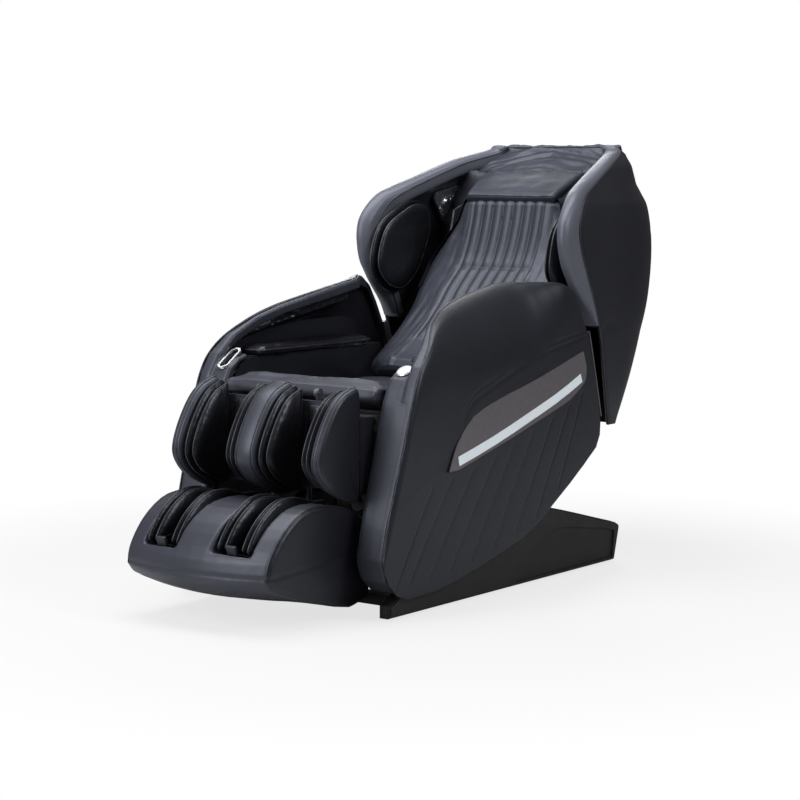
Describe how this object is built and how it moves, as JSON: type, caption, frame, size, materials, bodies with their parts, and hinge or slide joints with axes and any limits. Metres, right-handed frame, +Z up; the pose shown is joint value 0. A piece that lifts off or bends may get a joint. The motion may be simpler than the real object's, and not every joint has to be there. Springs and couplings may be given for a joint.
{
  "type": "massage chair",
  "caption": "Reclining full-body massage chair with hooded back, closed arm shells, tilting seat, lifting calf unit, sliding footrest and a kneading carriage.",
  "frame": {"origin": "on the floor, under the middle of the outer box", "axes": "+Z up, the chair faces -Y, its left arm is at +X"},
  "size_m": [0.78, 1.722, 1.222],
  "materials": {
    "black_plastic": "satin",
    "frame_steel": "satin",
    "zinc_steel": "satin",
    "motor_grey": "satin",
    "foot_rubber": "matt",
    "wheel_plastic": "satin",
    "switch_red": "gloss",
    "dark_leather": "satin",
    "slate_leather": "satin",
    "pad_leather": "gloss",
    "sole_leather": "satin",
    "taupe_plate": "satin",
    "light_white": "satin",
    "chrome_trim": "polished",
    "knob_silver": "polished",
    "key_black": "gloss",
    "roller_brown": "matt",
    "pcb_green": "matt"
  },
  "bodies": {
    "base": {"floor_frame": "frame_steel", "base_cover_left": "black_plastic", "base_cover_right": "black_plastic", "base_rear_cover": "black_plastic", "rubber_feet": "foot_rubber", "power_box": "black_plastic"},
    "switch_rocker": {"mains_switch": "switch_red"},
    "wheels": {"transport_wheels": "wheel_plastic"},
    "seat": {"seat_frame": "frame_steel", "seat_pan": "black_plastic", "seat_cushion": "slate_leather", "air_pump": "motor_grey", "control_box": "pcb_green", "arm_panel_left": "dark_leather", "arm_panel_right": "dark_leather", "arm_band_left": "slate_leather", "arm_band_right": "slate_leather", "arm_inner_left": "dark_leather", "arm_inner_right": "dark_leather", "forearm_pad_left": "pad_leather", "forearm_pad_right": "pad_leather", "forearm_flap_left": "pad_leather", "forearm_flap_right": "pad_leather", "side_inserts": "taupe_plate", "light_strips": "light_white", "rear_trims": "taupe_plate", "pocket_bezel": "chrome_trim"},
    "knob": {"control_knob": "knob_silver"},
    "keys": {"control_keys": "key_black"},
    "backrest": {"back_frame": "frame_steel", "back_shell": "dark_leather", "wing_left": "slate_leather", "wing_right": "slate_leather", "back_pad": "dark_leather", "head_pillow": "dark_leather", "hood_lining": "dark_leather", "shoulder_pad_left": "pad_leather", "shoulder_pad_right": "pad_leather", "speakers": "chrome_trim", "guide_rails": "zinc_steel"},
    "screw": {"lead_screw": "zinc_steel"},
    "carriage": {"massage_carriage": "motor_grey"},
    "kneading_arms": {"massage_arms": "zinc_steel"},
    "rollers_upper": {"upper_rollers": "roller_brown"},
    "rollers_lower": {"lower_rollers": "roller_brown"},
    "calf_unit": {"calf_frame": "frame_steel", "calf_walls": "slate_leather", "calf_air_pads": "pad_leather", "calf_back_pads": "pad_leather"},
    "footrest": {"foot_shell": "slate_leather", "foot_air_pads": "pad_leather", "sole_pads": "sole_leather"},
    "foot_rollers": {"sole_rollers": "roller_brown"},
    "tilt_housing": {"tilt_motor": "motor_grey"},
    "tilt_push_rod": {"tilt_rod": "zinc_steel"},
    "recline_housing": {"recline_motor": "motor_grey"},
    "recline_push_rod": {"recline_rod": "zinc_steel"},
    "leg_housing": {"leg_motor": "motor_grey"},
    "leg_push_rod": {"leg_rod": "zinc_steel"}
  },
  "joints": [
    {"name": "zero_gravity_tilt", "type": "hinge", "parent": "base", "child": "seat", "pos_m": [0, 0.124, 0.2], "axis": [-1, 0, 0], "range_deg": [0, 10]},
    {"name": "back_recline", "type": "hinge", "parent": "seat", "child": "backrest", "pos_m": [0, 0.334, 0.39], "axis": [-1, 0, 0], "range_deg": [0, 38]},
    {"name": "legrest_lift", "type": "hinge", "parent": "seat", "child": "calf_unit", "pos_m": [0, -0.451, 0.575], "axis": [-1, 0, 0], "range_deg": [0, 80]},
    {"name": "footrest_extend", "type": "slide", "parent": "calf_unit", "child": "footrest", "axis": [0, 0, -1], "range_m": [0, 0.12]},
    {"name": "foot_roller_spin", "type": "hinge", "parent": "footrest", "child": "foot_rollers", "pos_m": [0, -0.616, 0.126], "axis": [1, 0, 0], "continuous": true},
    {"name": "carriage_travel", "type": "slide", "parent": "backrest", "child": "carriage", "axis": [0, 0.5878, 0.809], "range_m": [0, 0.34]},
    {"name": "screw_turn", "type": "hinge", "parent": "backrest", "child": "screw", "pos_m": [0, 0.48384, 0.58413], "axis": [0, 0.5878, 0.809], "range_deg": [0, 6140]},
    {"name": "kneading_rock", "type": "hinge", "parent": "carriage", "child": "kneading_arms", "pos_m": [0, 0.47564, 0.67662], "axis": [1, 0, 0], "range_deg": [-10, 10]},
    {"name": "upper_roller_spin", "type": "hinge", "parent": "kneading_arms", "child": "rollers_upper", "pos_m": [0, 0.48591, 0.71118], "axis": [1, 0, 0], "continuous": true},
    {"name": "lower_roller_spin", "type": "hinge", "parent": "kneading_arms", "child": "rollers_lower", "pos_m": [0, 0.44595, 0.65616], "axis": [1, 0, 0], "continuous": true},
    {"name": "knob_turn", "type": "hinge", "parent": "seat", "child": "knob", "pos_m": [0.3045, -0.342, 0.632], "axis": [0, -0.5446, 0.8387], "range_deg": [-135, 135]},
    {"name": "keys_press", "type": "slide", "parent": "seat", "child": "keys", "axis": [0, 0, -1], "range_m": [0, 0.002], "stiffness_N_per_m": 400},
    {"name": "mains_switch_rock", "type": "hinge", "parent": "base", "child": "switch_rocker", "pos_m": [0.03, 0.616, 0.068], "axis": [1, 0, 0], "range_deg": [-16, 0]},
    {"name": "transport_wheel_spin", "type": "hinge", "parent": "base", "child": "wheels", "pos_m": [0, 0.596, 0.022], "axis": [1, 0, 0], "continuous": true},
    {"name": "tilt_strut_swing", "type": "hinge", "parent": "base", "child": "tilt_housing", "pos_m": [0.08, -0.176, 0.062], "axis": [-1, 0, 0], "range_deg": [-1, 2]},
    {"name": "tilt_strut_extend", "type": "slide", "parent": "tilt_housing", "child": "tilt_push_rod", "axis": [0, 0.3672, 0.9302], "range_m": [0, 0.041]},
    {"name": "recline_strut_swing", "type": "hinge", "parent": "seat", "child": "recline_housing", "pos_m": [-0.08, -0.086, 0.236], "axis": [-1, 0, 0], "range_deg": [-10.5, 1]},
    {"name": "recline_strut_extend", "type": "slide", "parent": "recline_housing", "child": "recline_push_rod", "axis": [0, 0.9934, 0.115], "range_m": [-0.05, 0]},
    {"name": "leg_strut_swing", "type": "hinge", "parent": "seat", "child": "leg_housing", "pos_m": [0, -0.126, 0.33], "axis": [-1, 0, 0], "range_deg": [-2, 1]},
    {"name": "leg_strut_extend", "type": "slide", "parent": "leg_housing", "child": "leg_push_rod", "axis": [0, -0.8728, 0.488], "range_m": [0, 0.0925]}
  ],
  "couplings": [
    {"joint": "footrest_extend", "follows": "legrest_lift", "m_per_rad": 0.0859},
    {"joint": "screw_turn", "follows": "carriage_travel", "rad_per_m": 314.16},
    {"joint": "tilt_strut_swing", "follows": "zero_gravity_tilt", "ratio": 0.093},
    {"joint": "tilt_strut_extend", "follows": "zero_gravity_tilt", "m_per_rad": 0.2269},
    {"joint": "recline_strut_swing", "follows": "back_recline", "ratio": -0.2474},
    {"joint": "recline_strut_extend", "follows": "back_recline", "m_per_rad": -0.0736},
    {"joint": "leg_strut_swing", "follows": "legrest_lift", "ratio": -0.017},
    {"joint": "leg_strut_extend", "follows": "legrest_lift", "m_per_rad": 0.0654}
  ]
}
